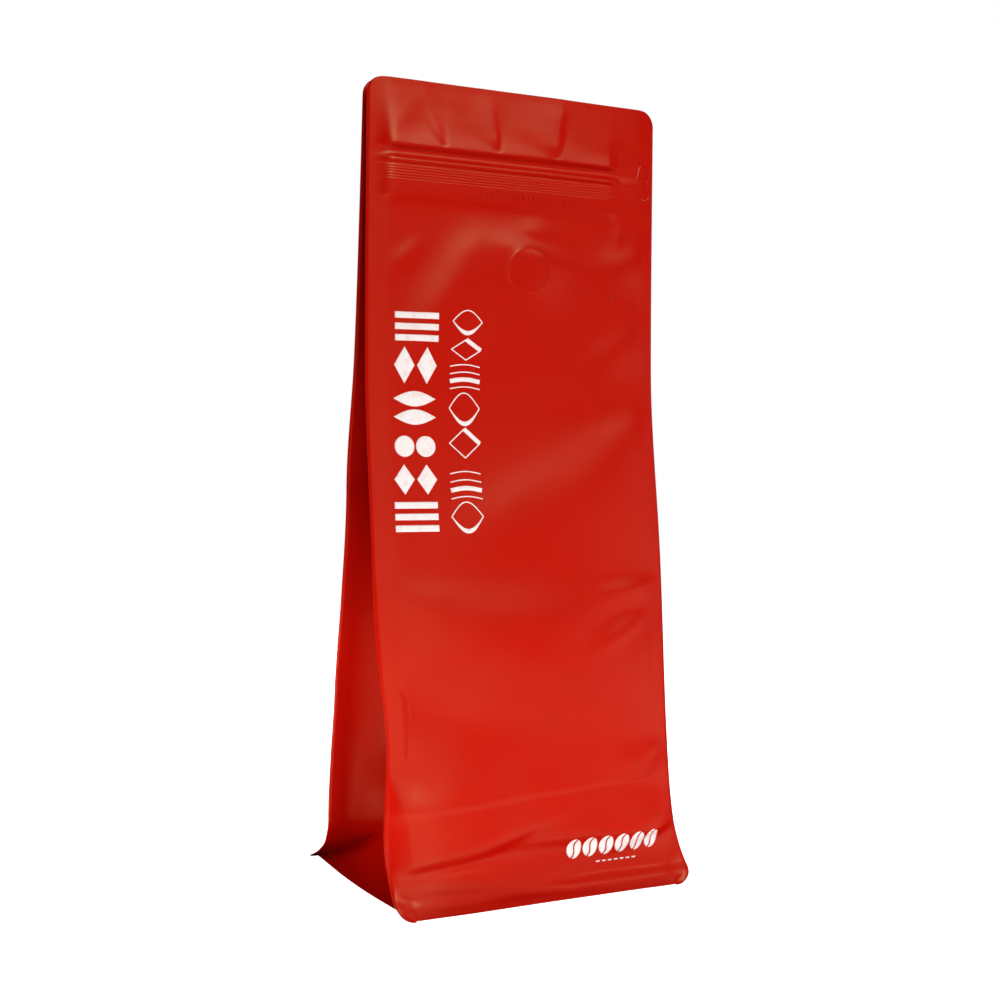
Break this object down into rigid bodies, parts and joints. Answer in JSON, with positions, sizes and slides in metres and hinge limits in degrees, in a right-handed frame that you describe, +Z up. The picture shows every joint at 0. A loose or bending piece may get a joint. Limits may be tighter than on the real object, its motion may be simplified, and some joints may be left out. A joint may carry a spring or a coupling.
{
  "type": "flat-bottom zip pouch",
  "caption": "Tall flat-bottom pouch of matt red film, empty and shut: folded side gussets, welded fins, a press zip under the header and a round degassing valve.",
  "frame": {"origin": "middle of the pouch's box on the surface that it stands on", "axes": "+Z up, front face with the valve towards -Y, width along X"},
  "size_m": [0.1416, 0.1194, 0.345],
  "materials": {
    "film": "matt laminated film, printed"
  },
  "bodies": {
    "root": {"pouch": "film"}
  },
  "joints": []
}
